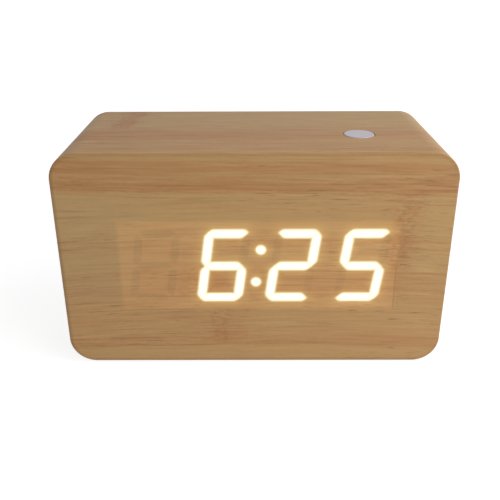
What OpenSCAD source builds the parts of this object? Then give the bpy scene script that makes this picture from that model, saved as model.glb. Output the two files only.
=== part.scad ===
// Wooden digital clock: a film-wrapped fibreboard case whose lit digits shine through the front sheet.
// Millimetres. X runs across the front, Y from front to back and Z up; the origin is under the middle.

/* [Case] */
// Width of the case over its wood film
case_w = 102; // [98:1:130]
// Height of the case without the foot pads
case_h = 60; // [57:1:80]
// Depth of the case from the front sheet to the rear rim
case_d = 45; // [43:1:60]
// Radius of the four long corners
corner_r = 7; // [5:0.5:9]
// Thickness of the fibreboard walls
wall = 5; // [4:0.5:6]
// Radius that the pocket cutter leaves in the corners
cutter_r = 1.5; // [1:0.25:2]
// Thickness of the wood film round the sides
film_t = 0.4; // [0.3:0.05:0.6]
// Thickness of the front sheet that the light shines through
sheet_t = 0.5; // [0.4:0.05:0.8]
// Radius on the front edge of the sheet
edge_r = 0.3; // [0.1:0.05:0.35]
// Side of the square posts in the rear corners
post = 6.5; // [6:0.25:7]

/* [Foot pads] */
// Diameter of a foot pad
foot_d = 8; // [6:0.5:10]
// Thickness of a foot pad
foot_t = 0.5; // [0.4:0.1:2]
// Distance from the case sides to a pad centre
foot_inset = 13; // [12:0.5:16]

/* [Display] */
// Height of a digit between the middles of its top and bottom bars
digit_h = 18.4; // [16:0.2:19]
// Width of a digit between the middles of its side bars
digit_w = 9.64; // [8:0.1:11]
// Width of a bar
bar_w = 2.1; // [1.6:0.1:2.4]
// Gap between neighbouring bars, measured along a bar
bar_gap = 0.4; // [0.3:0.05:0.6]
// Corner cut at the ends of the outer bars
bar_cut = 0.6; // [0.4:0.05:0.7]
// Lean of the digits in degrees
lean = 7.8; // [0:0.2:10]
// Distance between the digits
digit_pitch = 18.1; // [17:0.1:18.6]
// Diameter of a colon dot
dot_d = 2.6; // [2:0.1:3]
// Distance between the two colon dots
dot_pitch = 9.3; // [7:0.1:11]
// Width of the display module
module_w = 72.8; // [71:0.2:76]
// Height of the display module
module_h = 25.4; // [23:0.2:30]
// Depth of the display housing without its board
housing_d = 11.1; // [9:0.1:12]
// Thickness of the display board under the housing
display_board_t = 1.2; // [0.8:0.1:1.6]
// Depth of the milky filling in a bar
filling_d = 2; // [1:0.25:4]
// Sideways place of the display from the middle of the case
display_x = 1.1; // [-3:0.1:3]
// Height of the display from the middle of the case
display_rise = -0.6; // [-3:0.1:3]
// Diameter of a display pin
pin_d = 0.6; // [0.5:0.05:0.8]
// Distance between the display pins
pin_pitch = 5.08; // [2.54:0.01:6]

/* [Main board] */
// Thickness of the circuit boards
board_t = 1.6; // [1.2:0.1:2]
// Distance of the board screws from the sides of the corner posts
board_screw_inset = 3.4; // [3:0.1:4]
// Distance of the board screws from the top and bottom of the cavity
board_screw_drop = 5.2; // [4.8:0.1:5.6]

/* [Top button] */
// Diameter of the button cap
button_d = 8.2; // [7:0.1:9]
// Distance of the button from the right side of the case
button_inset = 22.9; // [21:0.1:32]
// Height of the button cap above the case
button_proud = 0.1; // [0.1:0.1:1]
// Length of the retaining wings, tip to tip
wing_l = 12; // [11:0.25:13]
// Width of the retaining wings
wing_w = 5; // [4:0.25:5.5]
// Thickness of the retaining wings
wing_t = 1.2; // [1:0.1:1.6]

/* [Switches] */
// Side of a push switch body
switch_w = 6; // [5.8:0.1:6.4]
// Height of a push switch body
switch_h = 3.5; // [3:0.1:4]
// Diameter of a switch plunger
plunger_d = 3.5; // [3:0.1:3.6]
// Height of a plunger above its switch
plunger_up = 1; // [0.8:0.1:1.4]
// Depth of a plunger inside its switch
plunger_in = 1.2; // [1:0.1:1.4]

/* [Rear cover] */
// Thickness of the rear cover
cover_t = 3; // [2.8:0.1:3.4]
// Depth of the cover below the rear rim
cover_recess = 0.8; // [0.7:0.1:1.2]
// Width of the ledge that the cover rests on
ledge = 2; // [1.5:0.25:2.5]
// Diameter of a cover screw head
screw_head_d = 4.6; // [4:0.1:5]
// Height of a cover screw head
screw_head_h = 1.6; // [1.2:0.1:1.8]
// Diameter of a cover screw shank
screw_d = 2.2; // [2:0.1:2.4]
// Length of a cover screw shank
screw_l = 10; // [8:0.5:12]
// Diameter of a sound hole
vent_d = 1.4; // [1:0.1:1.6]

/* [Keys] */
// Diameter of a rear key
key_d = 5; // [4:0.1:5.6]
// Height of a rear key above the cover
key_proud = 0.5; // [0.2:0.1:0.6]
// Diameter of a key flange
key_flange_d = 6.6; // [6.4:0.1:7.2]
// Thickness of a key flange
key_flange_t = 0.8; // [0.6:0.1:1]
// Distance between the keys
key_pitch = 9.5; // [8.5:0.25:10]

/* [Battery bay] */
// Diameter of a cell
cell_d = 10.4; // [10:0.1:10.6]
// Length of a cell with its nub
cell_l = 44.5; // [43.5:0.1:44.5]
// Distance between the cells
cell_pitch = 10.9; // [10.8:0.05:11.2]
// Thickness of the bay walls
bay_wall = 1.2; // [1:0.1:1.4]
// Thickness of a contact plate
plate_t = 0.5; // [0.4:0.05:0.6]
// Length of a contact spring between plate and cell
spring_l = 3.6; // [3.4:0.1:4.2]
// Diameter of the spring wire
wire_d = 0.6; // [0.5:0.05:0.7]
// Thickness of the battery door
door_t = 1.5; // [1.4:0.1:1.6]
// Diameter of the round hinge edge of the door
bead_d = 2; // [1.9:0.1:2.1]
// Diameter of the hinge pins
hinge_pin_d = 1.2; // [1:0.1:1.2]
// Length of the hinge pins
hinge_pin_l = 1.2; // [1:0.1:1.4]
// Width of the latch tongue
latch_w = 9; // [7:0.5:12]

/* [Leads] */
// Diameter of a battery lead
lead_d = 1.2; // [1:0.1:1.4]
// Width of the flat cable to the keys
cable_w = 8; // [6:0.5:10]
// Thickness of the flat cable to the keys
cable_t = 1; // [0.8:0.1:1.2]

/* [Hidden] */
$fn = 64;
over = 1; // how far a cut runs past the face that it opens
edge_steps = 5; // flats on a rounded-off edge

// clearances
display_gap = 0.2;
pocket_gap = 0.4;
board_gap = 0.6;
button_gap = 0.2;
cover_gap = 0.25;
key_gap = 0.2;
door_gap = 0.25;
bay_gap = 0.5;
hinge_gap = 0.1;
screw_gap = 0.05;
filling_gap = 0.05;
plunger_gap = 0.05;
cell_gap = 0.15;
pad_gap = 0.2;
pilot_spare = 0.5;

// case
front_y = -case_d / 2;
rear_y = case_d / 2;
base_z = foot_t;
top_z = base_z + case_h;
mid_z = base_z + case_h / 2;
sheet_y = front_y + sheet_t;
shell = film_t + wall;
cavity_w = case_w - 2 * shell;
cavity_h = case_h - 2 * shell;
ceiling_z = top_z - shell;
rim = shell - ledge;

// rear cover
cover_out = rear_y - cover_recess;
cover_in = cover_out - cover_t;
opening_w = case_w - 2 * rim;
opening_h = case_h - 2 * rim;
opening_r = corner_r - rim;
cover_edge = 0.5;
screw_x = (cavity_w - post) / 2;
screw_rise = (cavity_h - post) / 2;
cover_screw_seat = cover_out - screw_head_h;
cover_screw_tip = cover_screw_seat - screw_l;

// display
display_z = mid_z + display_rise;
face_y = sheet_y + display_gap;
housing_back = face_y + housing_d;
board_front = housing_back + display_board_t;
board_back = board_front + board_t;
half_w = digit_w / 2;
half_h = digit_h / 2;
half_bar = bar_w / 2;
colon_pair = [-1, 1];
chip_l = 2;
chip_w = 1.2;
chip_h = 0.8;
pins_per_row = 6;
pin_inset = 5;
pin_row_rise = module_h / 2 - pin_inset;
pin_out = 1.5;

// the bars of a digit by their usual letters: a top, b upper right, c lower right, d bottom,
// e lower left, f upper left, g middle; the display reads 6:25
BARS = "abcdefg";
LIT = ["", "acdefg", "abdeg", "acdfg"];

// main board
board_w = cavity_w - 2 * board_gap;
board_h = cavity_h - 2 * board_gap;
board_notch = post;
board_screw_x = cavity_w / 2 - post - board_screw_inset;
board_screw_rise = cavity_h / 2 - board_screw_drop;
board_screw_d = 2;
board_screw_l = 8;
board_screw_head_d = 4;
board_screw_head_h = 1.4;
leg_t = 0.3;

// top button and its switch
button_x = case_w / 2 - button_inset;
button_y = board_back + switch_w / 2;
button_edge = 0.15;
wing_z = ceiling_z - wing_t;
top_switch_z = wing_z - plunger_up;

// battery bay
cell_count = 3;
cell_nub_d = 3.8;
cell_nub_l = 1.1;
cell_edge = 0.4;
ridge_w = 1.2;
ridge_h = 2.2;
ridge_inset = 8;
bay_l = cell_l + spring_l + 2 * plate_t;
bay_h = cell_count * cell_pitch + bay_gap;
bay_x0 = bay_gap + bay_wall + post - cavity_w / 2;
bay_x1 = bay_x0 + bay_l;
bay_x = (bay_x0 + bay_x1) / 2;
bay_z0 = mid_z - bay_h / 2;
bay_z1 = mid_z + bay_h / 2;
door_in = cover_out - door_t;
recess_y = door_in - door_gap;
bay_floor = recess_y - cell_d - 2 * cell_gap;
bay_out = bay_floor - bay_wall;
cell_y = bay_floor + cell_gap + cell_d / 2;

// battery door
door_lip = 1.6;
door_w = bay_l + 2 * door_lip;
hinge_y = cover_out - bead_d / 2;
hinge_z = bay_z0 - bead_d / 2 - door_gap;
latch_t = 1;
latch_bend = 0.6;
latch_d = 4.2;
latch_room = 0.8;
latch_z = bay_z1 + door_gap;
latch_top = latch_z + 2 * (latch_t + latch_bend);
latch_y = door_in - latch_d;
latch_back = latch_y - latch_t - latch_bend - door_gap;
latch_x0 = bay_x - latch_w / 2 - door_gap;
latch_x1 = bay_x + latch_w / 2 + door_gap;
door_top = latch_z + latch_t;
grip_count = 3;
grip_w = 12;
grip_h = 0.8;
grip_up = 0.3;
grip_pitch = 2;
grip_inset = 1;

// contacts
plate_w = 9;
plate_h = 8.5;
tab_w = 3;
tab_l = 3;
tab_tip = bay_out - tab_l;
spring_base_r = 3.4;
spring_tip_r = 2.3;
spring_turns = 2;
curl_rings = 8;
wire_sides = 6;

// key board
key_board_gap = 1;
key_board_x0 = bay_x1 + bay_wall + key_board_gap;
key_board_x1 = cavity_w / 2 - board_gap;
key_board_z0 = mid_z - cavity_h / 2 + post + board_gap;
key_board_z1 = mid_z + cavity_h / 2 - post - board_gap;
key_board_back = cover_in - key_flange_t - plunger_up - switch_h;
key_board_front = key_board_back - board_t;
key_inset = 8;
key_x = key_board_x1 - key_inset;
free_x = (key_board_x0 + key_x - switch_w / 2) / 2;
stud_d = 4.6;
stud_inset = 2.6;
key_screw_d = 1.8;
key_screw_l = 6;
key_screw_head_d = 3.6;
key_screw_head_h = 1.2;
key_edge = 0.4;

// sounder and power socket
buzzer_d = 9.6;
buzzer_h = 4.4;
buzzer_hole_d = 2;
buzzer_rise = 7.5;
buzzer_x = free_x;
buzzer_z = mid_z + buzzer_rise;
vent_ring_r = 2.6;
vent_count = 6;
usb_drop = 8;
usb_x = free_x;
usb_z = mid_z - usb_drop;
usb_w = 7.5;
usb_h = 2.9;
usb_wall = 0.35;
usb_cut = 0.9;
usb_recess = 0.5;
usb_gap = 0.4;
usb_floor = 1;
tongue_w = 3.8;
tongue_t = 0.7;
tongue_inset = 1.4;

// leads
lead_bend = 2.5;
lead_run = 8;
cable_bow = 4;
cable_x = (key_board_x0 + key_board_x1) / 2;
cable_z = key_board_z0 + 2 * stud_inset + cable_t;

// the place of copy k in a row of n about the middle
function centred(k, n) = k - (n - 1) / 2;

// a rounded rectangle about the origin
module rounded(w, h, r) {
    square([w - 2 * r, h], center = true);
    square([w, h - 2 * r], center = true);
    for (x = [-1, 1], y = [-1, 1])
        translate([x * (w / 2 - r), y * (h / 2 - r)]) circle(r);
}

// a flat outline in X and Z, drawn out along Y from y0 to y1
module slab(y0, y1) {
    translate([0, y1, 0]) rotate([90, 0, 0]) linear_extrude(y1 - y0) children();
}

// a round rod along Y
module rod(x, z, y0, y1, d) {
    translate([x, y1, z]) rotate([90, 0, 0]) cylinder(d = d, h = y1 - y0);
}

// a block between two corners
module block(low, high) {
    translate(low) cube(high - low);
}

// the four places at a distance left and right of x and above and below z
module at_corners(x, z, dx, dz) {
    for (sx = [-1, 1], sz = [-1, 1])
        translate([x + sx * dx, 0, z + sz * dz]) children();
}

// a rounded-off corner at the point x, y of a section, from the side to the top
function rounded_off(x, y, r) = [for (k = [0:edge_steps]) let (a = 90 * k / edge_steps)
    [x - r + r * cos(a), y - r + r * sin(a)]];

// a panel of thickness t on z = 0 with corners of radius r and its upper edge rounded off by e:
// a middle block, four straight borders and four quarter-turn corners
module edged_panel(w, h, r, t, e) {
    span_w = w - 2 * r;
    span_h = h - 2 * r;
    border = concat([[0, 0], [r, 0]], rounded_off(r, t, e), [[0, t]]);
    translate([-span_w / 2, -span_h / 2, 0]) cube([span_w, span_h, t]);
    for (turn = [0, 180]) rotate(turn) {
        translate([span_w / 2, span_h / 2, 0]) rotate([90, 0, 0]) linear_extrude(span_h) polygon(border);
        translate([-span_w / 2, span_h / 2, 0]) rotate([90, 0, 90]) linear_extrude(span_w) polygon(border);
        translate([span_w / 2, span_h / 2, 0]) rotate_extrude(angle = 90) polygon(border);
        translate([-span_w / 2, span_h / 2, 0]) rotate(90) rotate_extrude(angle = 90) polygon(border);
    }
}

// outline of the pockets behind the ledge, with the corner posts left standing
module cavity() {
    rounded(cavity_w, cavity_h - 2 * post, cutter_r);
    rounded(cavity_w - 2 * post, cavity_h, cutter_r);
}

// outline of the main board, notched round the posts
module board_outline() {
    rounded(board_w, board_h - 2 * board_notch, cutter_r);
    rounded(board_w - 2 * board_notch, board_h, cutter_r);
}

module case_body() {
    color("burlywood") difference() {
        translate([0, 0, mid_z]) slab(sheet_y, rear_y - film_t)
            rounded(case_w - 2 * film_t, case_h - 2 * film_t, corner_r - film_t);
        translate([display_x, 0, display_z]) slab(sheet_y - over, board_front + over)
            square([module_w + 2 * pocket_gap, module_h + 2 * pocket_gap], center = true);
        translate([0, 0, mid_z]) slab(board_front, cover_in + over) cavity();
        translate([0, 0, mid_z]) slab(cover_in, rear_y + over)
            rounded(opening_w, opening_h, opening_r);
        button_hole();
        at_corners(0, mid_z, screw_x, screw_rise)
            rod(0, 0, cover_screw_tip - pilot_spare, cover_in + over, screw_d + 2 * screw_gap);
        at_corners(0, mid_z, board_screw_x, board_screw_rise)
            rod(0, 0, board_back - board_screw_l - pilot_spare, board_front + over,
                board_screw_d + 2 * screw_gap);
    }
}

module button_hole() {
    translate([button_x, button_y, ceiling_z - over])
        cylinder(d = button_d + 2 * button_gap, h = shell + 2 * over);
}

module side_film() {
    color("tan") difference() {
        translate([0, 0, mid_z]) slab(sheet_y, rear_y) rounded(case_w, case_h, corner_r);
        translate([0, 0, mid_z]) slab(sheet_y - over, rear_y - film_t)
            rounded(case_w - 2 * film_t, case_h - 2 * film_t, corner_r - film_t);
        translate([0, 0, mid_z]) slab(rear_y - film_t - over, rear_y + over)
            rounded(opening_w, opening_h, opening_r);
        button_hole();
    }
}

module front_sheet() {
    color("tan") translate([0, sheet_y, mid_z]) rotate([90, 0, 0])
        edged_panel(case_w, case_h, corner_r, sheet_t, edge_r);
}

module foot_pads() {
    color("dimgray") for (x = [-1, 1], y = [-1, 1])
        translate([x * (case_w / 2 - foot_inset), y * (case_d / 2 - foot_inset), 0])
            cylinder(d = foot_d, h = foot_t);
}

// outline of one bar of an upright digit about the origin, t is half the width of the bar
// and g the gap to its neighbours along a bar
function top_bar(t, g) = [
    [-(half_w + t - g - 2 * bar_cut), half_h + t],
    [half_w + t - g - 2 * bar_cut, half_h + t],
    [half_w + t - g - bar_cut, half_h + t - bar_cut],
    [half_w - t - g, half_h - t],
    [-(half_w - t - g), half_h - t],
    [-(half_w + t - g - bar_cut), half_h + t - bar_cut]
];
function upper_right_bar(t, g) = [
    [half_w + t, half_bar - bar_gap + g],
    [half_w + t, half_h + t - g - 2 * bar_cut],
    [half_w + t - bar_cut, half_h + t - g - bar_cut],
    [half_w - t, half_h - t - g],
    [half_w - t, t + g],
    [half_w, g]
];
function middle_bar(t, g) = [
    [-(half_w - t - g / 2), t],
    [half_w - t - g / 2, t],
    [half_w - g / 4, 0],
    [half_w - t - g / 2, -t],
    [-(half_w - t - g / 2), -t],
    [-(half_w - g / 4), 0]
];
function flipped(points, sx, sy) = [for (p = points) [sx * p[0], sy * p[1]]];
function bar(k, t, g) =
    k == 0 ? top_bar(t, g) :
    k == 1 ? upper_right_bar(t, g) :
    k == 2 ? flipped(upper_right_bar(t, g), 1, -1) :
    k == 3 ? flipped(top_bar(t, g), 1, -1) :
    k == 4 ? flipped(upper_right_bar(t, g), -1, -1) :
    k == 5 ? flipped(upper_right_bar(t, g), -1, 1) :
    middle_bar(t, g);

// places on the leaning display, from its middle
function leaned(points) = [for (p = points) [p[0] + p[1] * tan(lean), p[1]]];
function digit_x(digit) = centred(digit, len(LIT)) * digit_pitch;
function is_lit(digit, k) = len(search(BARS[k], LIT[digit])) > 0;

// the middle of a bar, where its light source sits
function bar_middle(k) =
    k == 0 ? [0, half_h] :
    k == 1 ? [half_w, half_h / 2] :
    k == 2 ? [half_w, -half_h / 2] :
    k == 3 ? [0, -half_h] :
    k == 4 ? [-half_w, -half_h / 2] :
    k == 5 ? [-half_w, half_h / 2] :
    [0, 0];
function is_upright(k) = k == 1 || k == 2 || k == 4 || k == 5;

// one bar of a digit, drawn in by an inset along its sides and its slanted ends
module one_bar(digit, k, inset) {
    translate([digit_x(digit), 0]) polygon(leaned(bar(k, half_bar - inset, bar_gap + inset * sqrt(2))));
}

module dots(d) {
    for (s = colon_pair) translate(leaned([[0, s * dot_pitch / 2]])[0]) circle(d = d);
}

module on_display(y0, y1) {
    translate([display_x, 0, display_z]) slab(y0, y1) children();
}

// the housing is a deep grid of light wells, one behind each bar and dot
module display_housing() {
    color("ivory") difference() {
        on_display(face_y, housing_back) square([module_w, module_h], center = true);
        for (digit = [0:len(LIT) - 1], k = [0:len(BARS) - 1])
            on_display(face_y - over, housing_back + over) one_bar(digit, k, 0);
        on_display(face_y - over, housing_back + over) dots(dot_d);
    }
}

module lit_bars() {
    color("lightyellow") {
        for (digit = [0:len(LIT) - 1], k = [0:len(BARS) - 1])
            if (is_lit(digit, k))
                on_display(face_y, face_y + filling_d) one_bar(digit, k, filling_gap);
        on_display(face_y, face_y + filling_d) dots(dot_d - 2 * filling_gap);
    }
}

module unlit_bars() {
    color("darkkhaki")
        for (digit = [0:len(LIT) - 1], k = [0:len(BARS) - 1])
            if (!is_lit(digit, k))
                on_display(face_y, face_y + filling_d) one_bar(digit, k, filling_gap);
}

module led_chips() {
    color("khaki") {
        for (digit = [0:len(LIT) - 1], k = [0:len(BARS) - 1])
            on_display(housing_back - chip_h, housing_back)
                translate([digit_x(digit), 0]) translate(leaned([bar_middle(k)])[0])
                    square(is_upright(k) ? [chip_w, chip_l] : [chip_l, chip_w], center = true);
        for (s = colon_pair)
            on_display(housing_back - chip_h, housing_back)
                translate(leaned([[0, s * dot_pitch / 2]])[0]) square(chip_w, center = true);
    }
}

module display_board() {
    color("darkgreen") on_display(housing_back, board_front)
        square([module_w, module_h], center = true);
}

module at_pins() {
    for (row = [-1, 1], k = [0:pins_per_row - 1])
        translate([display_x + centred(k, pins_per_row) * pin_pitch, 0, display_z + row * pin_row_rise])
            children();
}

module display_pins() {
    color("silver") at_pins() rod(0, 0, board_front, board_back + pin_out, pin_d);
}

module main_board() {
    color("darkgreen") difference() {
        translate([0, 0, mid_z]) slab(board_front, board_back) board_outline();
        at_pins() rod(0, 0, board_front - over, board_back + over, pin_d + 2 * pad_gap);
        at_corners(0, mid_z, board_screw_x, board_screw_rise)
            rod(0, 0, board_front - over, board_back + over, board_screw_d + 2 * pad_gap);
    }
}

// a cross-slotted pan-head screw along Y; its head lies on the seat and faces +Y when way is 1
module screw(head_d, head_h, shank_d, shank_l, way) {
    slot_w = head_d / 7;
    slot_l = head_d * 0.6;
    slot_d = head_h * 0.5;
    brow_r = head_h * 0.6;
    tip_l = shank_d;
    tip_d = shank_d / 3;
    profile = concat(
        [[0, -shank_l], [tip_d / 2, -shank_l], [shank_d / 2, tip_l - shank_l], [shank_d / 2, 0]],
        [[head_d / 2, 0]],
        rounded_off(head_d / 2, head_h, brow_r),
        [[0, head_h]]
    );
    mirror([0, way < 0 ? 1 : 0, 0]) difference() {
        rotate([-90, 0, 0]) rotate_extrude() polygon(profile);
        block([-slot_l / 2, head_h - slot_d, -slot_w / 2], [slot_l / 2, head_h + over, slot_w / 2]);
        block([-slot_w / 2, head_h - slot_d, -slot_l / 2], [slot_w / 2, head_h + over, slot_l / 2]);
    }
}

module board_screws() {
    color("silver") at_corners(0, mid_z, board_screw_x, board_screw_rise) translate([0, board_back, 0])
        screw(board_screw_head_d, board_screw_head_h, board_screw_d, board_screw_l, 1);
}

chip_body = [18, 2.3, 7.5];
chip_leg_count = 14;
chip_leg_pitch = 1.27;
chip_leg_w = 0.4;
chip_leg_reach = 1.4;
chip_x = -14;
chip_mark_d = 2;
chip_mark_deep = 0.4;

module clock_chip() {
    color("black") translate([chip_x, board_back + leg_t, mid_z]) difference() {
        translate([-chip_body[0] / 2, 0, -chip_body[2] / 2]) cube(chip_body);
        rod(-chip_body[0] / 2, 0, chip_body[1] - chip_mark_deep, chip_body[1] + over, chip_mark_d);
    }
}

// each leg is a foot on the board with a riser against the chip's side
module chip_legs() {
    side = chip_body[2] / 2;
    riser = chip_body[1] / 2 + leg_t;
    color("silver") for (way = [0, 1], k = [0:chip_leg_count - 1])
        translate([chip_x + centred(k, chip_leg_count) * chip_leg_pitch, board_back, mid_z])
            mirror([0, 0, way]) {
                block([-chip_leg_w / 2, 0, side], [chip_leg_w / 2, leg_t, side + chip_leg_reach]);
                block([-chip_leg_w / 2, 0, side], [chip_leg_w / 2, riser, side + leg_t]);
            }
}

crystal_w = 11;
crystal_t = 4.6;
crystal_h = 3.5;
crystal_x = -30;

module crystal() {
    color("silver") translate([crystal_x, 0, mid_z]) {
        slab(board_back, board_back + leg_t) square([crystal_w, crystal_t], center = true);
        slab(board_back, board_back + crystal_h)
            rounded(crystal_w - 2 * leg_t, crystal_t - 2 * leg_t, crystal_t / 2 - 2 * leg_t);
    }
}

capacitor_d = 6.3;
capacitor_h = 7.5;
capacitor_x = 22;
capacitor_rise = 4;
capacitor_neck = 1.4;
capacitor_groove = 0.4;

module capacitor() {
    r = capacitor_d / 2;
    g = capacitor_groove;
    color("darkslateblue") translate([capacitor_x, board_back, mid_z + capacitor_rise])
        rotate([-90, 0, 0]) rotate_extrude() polygon([
            [0, 0], [r, 0], [r, capacitor_neck - g], [r - g, capacitor_neck], [r, capacitor_neck + g],
            [r, capacitor_h - g], [r - g, capacitor_h], [0, capacitor_h]
        ]);
}

transistor_body = [2.9, 1.1, 1.4];
transistor_pitch = 5;
transistor_x = -30;
transistor_drop = 11;

module driver_transistors() {
    color("black") for (k = [0:len(LIT) - 1])
        translate([transistor_x + centred(k, len(LIT)) * transistor_pitch, board_back, 0])
            translate([-transistor_body[0] / 2, 0, mid_z - transistor_drop - transistor_body[2] / 2])
                cube(transistor_body);
}

resistor_body = [1.2, 0.6, 2];
resistor_count = 8;
resistor_pitch = 2.2;
resistor_x = 8;

module resistors() {
    color("dimgray") for (k = [0:resistor_count - 1])
        translate([resistor_x + centred(k, resistor_count) * resistor_pitch, board_back, mid_z])
            translate([-resistor_body[0] / 2, 0, -resistor_body[2] / 2]) cube(resistor_body);
}

// a push switch about the origin: the board face is z = 0 and the plunger leaves along +Z
module switch_body() {
    cap_t = 0.4;
    difference() {
        union() {
            translate([-switch_w / 2, -switch_w / 2, 0]) cube([switch_w, switch_w, switch_h - cap_t]);
            translate([0, 0, switch_h - cap_t]) linear_extrude(cap_t)
                rounded(switch_w - cap_t, switch_w - cap_t, cap_t);
        }
        translate([0, 0, switch_h - 2 * plunger_in])
            cylinder(d = plunger_d + 2 * plunger_gap, h = 2 * plunger_in + over);
    }
}

module switch_plunger() {
    translate([0, 0, switch_h - plunger_in]) cylinder(d = plunger_d, h = plunger_in + plunger_up);
}

module at_top_switch() {
    translate([button_x, button_y, top_switch_z - switch_h]) children();
}

module top_switch() {
    color("dimgray") at_top_switch() switch_body();
}

module top_plunger() {
    color("black") at_top_switch() switch_plunger();
}

module top_button() {
    cap_h = shell + button_proud;
    color("whitesmoke") translate([button_x, button_y, 0]) {
        translate([0, 0, ceiling_z]) rotate_extrude() polygon([
            [0, 0], [button_d / 2, 0], [button_d / 2, cap_h - button_edge],
            [button_d / 2 - button_edge, cap_h], [0, cap_h]
        ]);
        translate([-wing_l / 2, -wing_w / 2, wing_z]) cube([wing_l, wing_w, wing_t]);
    }
}

module at_key(k) {
    translate([key_x, key_board_back, mid_z + k * key_pitch]) rotate([-90, 0, 0]) children();
}

module key_switches() {
    color("dimgray") for (k = [-1, 0, 1]) at_key(k) switch_body();
}

module key_plunger(k) {
    color("black") at_key(k) switch_plunger();
}

// a key cap with its retaining flange and a bevelled outer edge
module key_cap(k) {
    flange_z = switch_h + plunger_up;
    cap_z = flange_z + key_flange_t + cover_t + key_proud;
    color("darkgray") at_key(k) rotate_extrude() polygon([
        [0, flange_z], [key_flange_d / 2, flange_z], [key_flange_d / 2, flange_z + key_flange_t],
        [key_d / 2, flange_z + key_flange_t], [key_d / 2, cap_z - key_edge],
        [key_d / 2 - key_edge, cap_z], [0, cap_z]
    ]);
}

module set_plunger() { key_plunger(1); }
module up_plunger() { key_plunger(0); }
module down_plunger() { key_plunger(-1); }
module set_key() { key_cap(1); }
module up_key() { key_cap(0); }
module down_key() { key_cap(-1); }

module key_board_block(y0, y1) {
    block([key_board_x0, y0, key_board_z0], [key_board_x1, y1, key_board_z1]);
}

module at_studs() {
    at_corners((key_board_x0 + key_board_x1) / 2, (key_board_z0 + key_board_z1) / 2,
        (key_board_x1 - key_board_x0) / 2 - stud_inset, (key_board_z1 - key_board_z0) / 2 - stud_inset)
        children();
}

module key_board() {
    color("darkgreen") difference() {
        key_board_block(key_board_front, key_board_back);
        at_studs() rod(0, 0, key_board_front - over, key_board_back + over, key_screw_d + 2 * pad_gap);
    }
}

module key_board_screws() {
    color("silver") at_studs() translate([0, key_board_front, 0])
        screw(key_screw_head_d, key_screw_head_h, key_screw_d, key_screw_l, -1);
}

module buzzer() {
    color("black") difference() {
        rod(buzzer_x, buzzer_z, key_board_back, key_board_back + buzzer_h, buzzer_d);
        rod(buzzer_x, buzzer_z, key_board_back + buzzer_h / 2, key_board_back + buzzer_h + over,
            buzzer_hole_d);
    }
}

// outline of the power socket, flat on one long side and cut at the other side's corners
module usb_outline(inset) {
    w = usb_w / 2 - inset;
    h = usb_h / 2 - inset;
    polygon([[-w, h], [w, h], [w, usb_cut - h], [w - usb_cut, -h], [usb_cut - w, -h], [-w, usb_cut - h]]);
}

module at_usb(y0, y1) {
    translate([usb_x, 0, usb_z]) slab(y0, y1) children();
}

module usb_socket() {
    color("silver") difference() {
        at_usb(key_board_back, cover_out - usb_recess) usb_outline(0);
        at_usb(key_board_back + usb_floor, cover_out + over) usb_outline(usb_wall);
    }
}

module usb_tongue() {
    color("black") at_usb(key_board_back + usb_floor, cover_out - usb_recess - tongue_inset)
        translate([0, usb_h / 4 - tongue_t / 2]) square([tongue_w, tongue_t], center = true);
}

// the flat cable bows upward between the two boards
module key_cable() {
    span = key_board_front - board_back;
    r = (span * span / 4 + cable_bow * cable_bow) / (2 * cable_bow);
    color("gray") translate([cable_x - cable_w / 2, (key_board_front + board_back) / 2, cable_z])
        rotate([90, 0, 90]) linear_extrude(cable_w) intersection() {
            translate([0, cable_bow - r]) difference() {
                circle(r + cable_t / 2);
                circle(r - cable_t / 2);
            }
            translate([-span / 2, -2 * cable_t]) square([span, 2 * cable_t + 2 * cable_bow]);
        }
}

// a bore along X for a hinge pin or bead
module x_rod(x0, x1, d) {
    translate([x0, hinge_y, hinge_z]) rotate([0, 90, 0]) cylinder(d = d, h = x1 - x0);
}

door_x0 = bay_x - door_w / 2;
door_x1 = bay_x + door_w / 2;

// the tub that holds the cells, with the latch box over it and the studs of the key board
module cover_solid() {
    translate([0, cover_in, mid_z]) rotate([-90, 0, 0]) edged_panel(
        opening_w - 2 * cover_gap, opening_h - 2 * cover_gap, opening_r - cover_gap, cover_t, cover_edge);
    block([bay_x0 - bay_wall, bay_out, bay_z0 - bay_wall],
        [bay_x1 + bay_wall, cover_in, bay_z1 + bay_wall]);
    block([latch_x0 - bay_wall, latch_back - bay_wall, bay_z1],
        [latch_x1 + bay_wall, cover_in, latch_top + latch_room + bay_wall]);
    at_studs() rod(0, 0, key_board_back, cover_in, stud_d);
}

module tab_slot(x, k) {
    z = mid_z + k * cell_pitch;
    block([x - pad_gap, bay_out - over, z - tab_w / 2 - pad_gap],
        [x + plate_t + pad_gap, bay_floor + over, z + tab_w / 2 + pad_gap]);
}

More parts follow.
